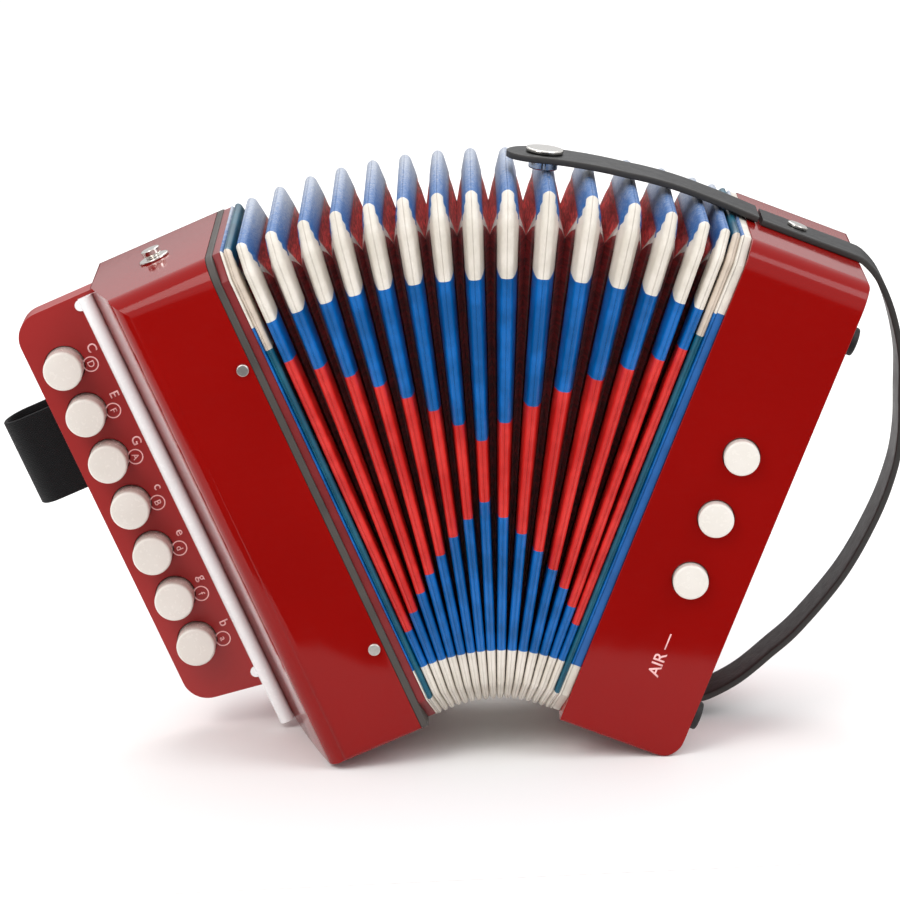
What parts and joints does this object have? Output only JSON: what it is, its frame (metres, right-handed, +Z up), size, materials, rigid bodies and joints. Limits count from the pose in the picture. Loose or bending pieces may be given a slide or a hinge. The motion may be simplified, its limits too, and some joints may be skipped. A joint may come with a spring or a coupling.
{
  "type": "toy button accordion",
  "caption": "Fanned button accordion: two rounded cases joined by a pleated bellows, fingerboard with key buttons, bass buttons, hand strap and thumb loop.",
  "frame": {"origin": "centre of the bounding box on the ground, where both cases stand on their lower outer roundings", "axes": "+X from the treble case to the bass case, +Y from the front to the player's back side, +Z up"},
  "size_m": [0.3534, 0.11, 0.2304],
  "materials": {
    "red_lacquer": "glossy deep-red lacquer",
    "red_board": "glossy red, moulded",
    "white_plastic": "satin-gloss white",
    "pleat_card": "creased card bound in gloss tape: white, blue and red",
    "lining_cloth": "woven lining",
    "end_frame": "painted wood edge",
    "gasket_rubber": "matte black rubber",
    "action_wood": "bare sanded wood",
    "steel": "drawn steel wire and rod",
    "reed_brass": "rolled brass",
    "plated": "nickel-plated, polished",
    "strap_leather": "black leather, slightly worn edge",
    "thumb_webbing": "black woven webbing",
    "foot_rubber": "moulded black rubber"
  },
  "bodies": {
    "treble": {"treble_case": "red_lacquer", "treble_gasket": "gasket_rubber", "treble_frame": "end_frame", "fingerboard": "red_board", "fingerboard_base": "red_board", "rail": "white_plastic", "pallet_board": "action_wood", "treble_reeds": "reed_brass", "thumb_strap": "thumb_webbing", "strap_stud": "plated", "treble_screws": "plated", "key_axle": "steel", "key_springs": "steel", "bellows_cloth": "lining_cloth"},
    "fold_01": {"fold_01": "pleat_card"},
    "fold_02": {"fold_02": "pleat_card"},
    "fold_03": {"fold_03": "pleat_card"},
    "fold_04": {"fold_04": "pleat_card"},
    "fold_05": {"fold_05": "pleat_card"},
    "fold_06": {"fold_06": "pleat_card"},
    "fold_07": {"fold_07": "pleat_card"},
    "fold_08": {"fold_08": "pleat_card"},
    "fold_09": {"fold_09": "pleat_card"},
    "fold_10": {"fold_10": "pleat_card"},
    "fold_11": {"fold_11": "pleat_card"},
    "fold_12": {"fold_12": "pleat_card"},
    "fold_13": {"fold_13": "pleat_card"},
    "fold_14": {"fold_14": "pleat_card"},
    "fold_15": {"fold_15": "pleat_card"},
    "fold_16": {"fold_16": "pleat_card"},
    "fold_17": {"fold_17": "pleat_card"},
    "bass": {"bass_case": "red_lacquer", "bass_frame": "end_frame", "bass_board": "action_wood", "bass_springs": "steel", "bass_reeds": "reed_brass", "hand_strap": "strap_leather", "strap_screws": "plated", "feet": "foot_rubber"},
    "closing_tab": {"strap_tab": "strap_leather", "snap": "plated"},
    "key_1": {"key_button_1": "white_plastic"},
    "key_2": {"key_button_2": "white_plastic"},
    "key_3": {"key_button_3": "white_plastic"},
    "key_4": {"key_button_4": "white_plastic"},
    "key_5": {"key_button_5": "white_plastic"},
    "key_6": {"key_button_6": "white_plastic"},
    "key_7": {"key_button_7": "white_plastic"},
    "lever_1": {"key_lever_1": "action_wood"},
    "lever_2": {"key_lever_2": "action_wood"},
    "lever_3": {"key_lever_3": "action_wood"},
    "lever_4": {"key_lever_4": "action_wood"},
    "lever_5": {"key_lever_5": "action_wood"},
    "lever_6": {"key_lever_6": "action_wood"},
    "lever_7": {"key_lever_7": "action_wood"},
    "bass_key_1": {"bass_button_1": "white_plastic"},
    "bass_key_2": {"bass_button_2": "white_plastic"},
    "air_key": {"air_button": "white_plastic"}
  },
  "joints": [
    {"name": "pleat_hinge_01", "type": "hinge", "parent": "treble", "child": "fold_01", "pos_m": [-0.00909, 0.002, 0.0196], "axis": [0, 1, 0], "range_deg": [-0.2463, 0.0497]},
    {"name": "pleat_hinge_02", "type": "hinge", "parent": "fold_01", "child": "fold_02", "pos_m": [-0.00652, 0.002, 0.02058], "axis": [0, 1, 0], "range_deg": [-0.86, 0.17]},
    {"name": "pleat_hinge_03", "type": "hinge", "parent": "fold_02", "child": "fold_03", "pos_m": [-0.00394, 0.002, 0.02152], "axis": [0, 1, 0], "range_deg": [-2.71, 0.54]},
    {"name": "pleat_hinge_04", "type": "hinge", "parent": "fold_03", "child": "fold_04", "pos_m": [-0.00131, 0.002, 0.02234], "axis": [0, 1, 0], "range_deg": [-2.95, 0.59]},
    {"name": "pleat_hinge_05", "type": "hinge", "parent": "fold_04", "child": "fold_05", "pos_m": [0.00135, 0.002, 0.02302], "axis": [0, 1, 0], "range_deg": [-2.83, 0.57]},
    {"name": "pleat_hinge_06", "type": "hinge", "parent": "fold_05", "child": "fold_06", "pos_m": [0.00405, 0.002, 0.02357], "axis": [0, 1, 0], "range_deg": [-2.95, 0.59]},
    {"name": "pleat_hinge_07", "type": "hinge", "parent": "fold_06", "child": "fold_07", "pos_m": [0.00677, 0.002, 0.02398], "axis": [0, 1, 0], "range_deg": [-2.95, 0.59]},
    {"name": "pleat_hinge_08", "type": "hinge", "parent": "fold_07", "child": "fold_08", "pos_m": [0.0095, 0.002, 0.02424], "axis": [0, 1, 0], "range_deg": [-2.95, 0.59]},
    {"name": "pleat_hinge_09", "type": "hinge", "parent": "fold_08", "child": "fold_09", "pos_m": [0.01225, 0.002, 0.02437], "axis": [0, 1, 0], "range_deg": [-2.95, 0.59], "deforming": ["bellows_cloth"]},
    {"name": "pleat_hinge_10", "type": "hinge", "parent": "fold_09", "child": "fold_10", "pos_m": [0.015, 0.002, 0.02436], "axis": [0, 1, 0], "range_deg": [-3.2, 0.64]},
    {"name": "pleat_hinge_11", "type": "hinge", "parent": "fold_10", "child": "fold_11", "pos_m": [0.01775, 0.002, 0.02419], "axis": [0, 1, 0], "range_deg": [-3.69, 0.74]},
    {"name": "pleat_hinge_12", "type": "hinge", "parent": "fold_11", "child": "fold_12", "pos_m": [0.02047, 0.002, 0.02385], "axis": [0, 1, 0], "range_deg": [-3.94, 0.79]},
    {"name": "pleat_hinge_13", "type": "hinge", "parent": "fold_12", "child": "fold_13", "pos_m": [0.02317, 0.002, 0.02332], "axis": [0, 1, 0], "range_deg": [-3.94, 0.79]},
    {"name": "pleat_hinge_14", "type": "hinge", "parent": "fold_13", "child": "fold_14", "pos_m": [0.02583, 0.002, 0.0226], "axis": [0, 1, 0], "range_deg": [-3.32, 0.67]},
    {"name": "pleat_hinge_15", "type": "hinge", "parent": "fold_14", "child": "fold_15", "pos_m": [0.02844, 0.002, 0.02173], "axis": [0, 1, 0], "range_deg": [-2.95, 0.59]},
    {"name": "pleat_hinge_16", "type": "hinge", "parent": "fold_15", "child": "fold_16", "pos_m": [0.031, 0.002, 0.02073], "axis": [0, 1, 0], "range_deg": [-1.6, 0.32]},
    {"name": "pleat_hinge_17", "type": "hinge", "parent": "fold_16", "child": "fold_17", "pos_m": [0.03353, 0.002, 0.01966], "axis": [0, 1, 0], "range_deg": [-0.4924, 0.0991]},
    {"name": "pleat_hinge_18", "type": "hinge", "parent": "fold_17", "child": "bass", "pos_m": [0.03605, 0.002, 0.01857], "axis": [0, 1, 0], "range_deg": [-0.2463, 0.0497]},
    {"name": "tab_flex", "type": "hinge", "parent": "bass", "child": "closing_tab", "pos_m": [0.12191, 0.002, 0.19941], "axis": [0, 1, 0], "range_deg": [-2.51, 12.5]},
    {"name": "key_1_press", "type": "slide", "parent": "treble", "child": "key_1", "axis": [0, 1, 0], "range_m": [0, 0.0035], "stiffness_N_per_m": 120, "springref_m": -0.002},
    {"name": "lever_1_rock", "type": "hinge", "parent": "treble", "child": "lever_1", "pos_m": [-0.11818, 0.012, 0.16323], "axis": [0.3604, 0, -0.9328], "range_deg": [0, 6.28]},
    {"name": "key_2_press", "type": "slide", "parent": "treble", "child": "key_2", "axis": [0, 1, 0], "range_m": [0, 0.0035], "stiffness_N_per_m": 120, "springref_m": -0.002},
    {"name": "lever_2_rock", "type": "hinge", "parent": "treble", "child": "lever_2", "pos_m": [-0.11083, 0.012, 0.1442], "axis": [0.3604, 0, -0.9328], "range_deg": [0, 6.28]},
    {"name": "key_3_press", "type": "slide", "parent": "treble", "child": "key_3", "axis": [0, 1, 0], "range_m": [0, 0.0035], "stiffness_N_per_m": 120, "springref_m": -0.002},
    {"name": "lever_3_rock", "type": "hinge", "parent": "treble", "child": "lever_3", "pos_m": [-0.10348, 0.012, 0.12518], "axis": [0.3604, 0, -0.9328], "range_deg": [0, 6.28]},
    {"name": "key_4_press", "type": "slide", "parent": "treble", "child": "key_4", "axis": [0, 1, 0], "range_m": [0, 0.0035], "stiffness_N_per_m": 120, "springref_m": -0.002},
    {"name": "lever_4_rock", "type": "hinge", "parent": "treble", "child": "lever_4", "pos_m": [-0.09613, 0.012, 0.10615], "axis": [0.3604, 0, -0.9328], "range_deg": [0, 6.28]},
    {"name": "key_5_press", "type": "slide", "parent": "treble", "child": "key_5", "axis": [0, 1, 0], "range_m": [0, 0.0035], "stiffness_N_per_m": 120, "springref_m": -0.002},
    {"name": "lever_5_rock", "type": "hinge", "parent": "treble", "child": "lever_5", "pos_m": [-0.08878, 0.012, 0.08712], "axis": [0.3604, 0, -0.9328], "range_deg": [0, 6.28]},
    {"name": "key_6_press", "type": "slide", "parent": "treble", "child": "key_6", "axis": [0, 1, 0], "range_m": [0, 0.0035], "stiffness_N_per_m": 120, "springref_m": -0.002},
    {"name": "lever_6_rock", "type": "hinge", "parent": "treble", "child": "lever_6", "pos_m": [-0.08142, 0.012, 0.06809], "axis": [0.3604, 0, -0.9328], "range_deg": [0, 6.28]},
    {"name": "key_7_press", "type": "slide", "parent": "treble", "child": "key_7", "axis": [0, 1, 0], "range_m": [0, 0.0035], "stiffness_N_per_m": 120, "springref_m": -0.002},
    {"name": "lever_7_rock", "type": "hinge", "parent": "treble", "child": "lever_7", "pos_m": [-0.07407, 0.012, 0.04906], "axis": [0.3604, 0, -0.9328], "range_deg": [0, 6.28]},
    {"name": "bass_key_1_press", "type": "slide", "parent": "bass", "child": "bass_key_1", "axis": [0, 1, 0], "range_m": [0, 0.003], "stiffness_N_per_m": 150, "springref_m": -0.002},
    {"name": "bass_key_2_press", "type": "slide", "parent": "bass", "child": "bass_key_2", "axis": [0, 1, 0], "range_m": [0, 0.003], "stiffness_N_per_m": 150, "springref_m": -0.002},
    {"name": "air_key_press", "type": "slide", "parent": "bass", "child": "air_key", "axis": [0, 1, 0], "range_m": [0, 0.003], "stiffness_N_per_m": 150, "springref_m": -0.002}
  ],
  "couplings": [
    {"joint": "pleat_hinge_01", "follows": "pleat_hinge_03", "ratio": 0.090909},
    {"joint": "pleat_hinge_02", "follows": "pleat_hinge_03", "ratio": 0.31818},
    {"joint": "pleat_hinge_04", "follows": "pleat_hinge_03", "ratio": 1.0909},
    {"joint": "pleat_hinge_05", "follows": "pleat_hinge_03", "ratio": 1.0455},
    {"joint": "pleat_hinge_06", "follows": "pleat_hinge_03", "ratio": 1.0909},
    {"joint": "pleat_hinge_07", "follows": "pleat_hinge_03", "ratio": 1.0909},
    {"joint": "pleat_hinge_08", "follows": "pleat_hinge_03", "ratio": 1.0909},
    {"joint": "pleat_hinge_09", "follows": "pleat_hinge_03", "ratio": 1.0909},
    {"joint": "pleat_hinge_10", "follows": "pleat_hinge_03", "ratio": 1.1818},
    {"joint": "pleat_hinge_11", "follows": "pleat_hinge_03", "ratio": 1.3636},
    {"joint": "pleat_hinge_12", "follows": "pleat_hinge_03", "ratio": 1.4545},
    {"joint": "pleat_hinge_13", "follows": "pleat_hinge_03", "ratio": 1.4545},
    {"joint": "pleat_hinge_14", "follows": "pleat_hinge_03", "ratio": 1.2273},
    {"joint": "pleat_hinge_15", "follows": "pleat_hinge_03", "ratio": 1.0909},
    {"joint": "pleat_hinge_16", "follows": "pleat_hinge_03", "ratio": 0.59091},
    {"joint": "pleat_hinge_17", "follows": "pleat_hinge_03", "ratio": 0.18182},
    {"joint": "pleat_hinge_18", "follows": "pleat_hinge_03", "ratio": 0.090909},
    {"joint": "tab_flex", "follows": "pleat_hinge_03", "ratio": -4.6165},
    {"joint": "lever_1_rock", "follows": "key_1_press", "rad_per_m": 31.25},
    {"joint": "lever_2_rock", "follows": "key_2_press", "rad_per_m": 31.25},
    {"joint": "lever_3_rock", "follows": "key_3_press", "rad_per_m": 31.25},
    {"joint": "lever_4_rock", "follows": "key_4_press", "rad_per_m": 31.25},
    {"joint": "lever_5_rock", "follows": "key_5_press", "rad_per_m": 31.25},
    {"joint": "lever_6_rock", "follows": "key_6_press", "rad_per_m": 31.25},
    {"joint": "lever_7_rock", "follows": "key_7_press", "rad_per_m": 31.25}
  ]
}
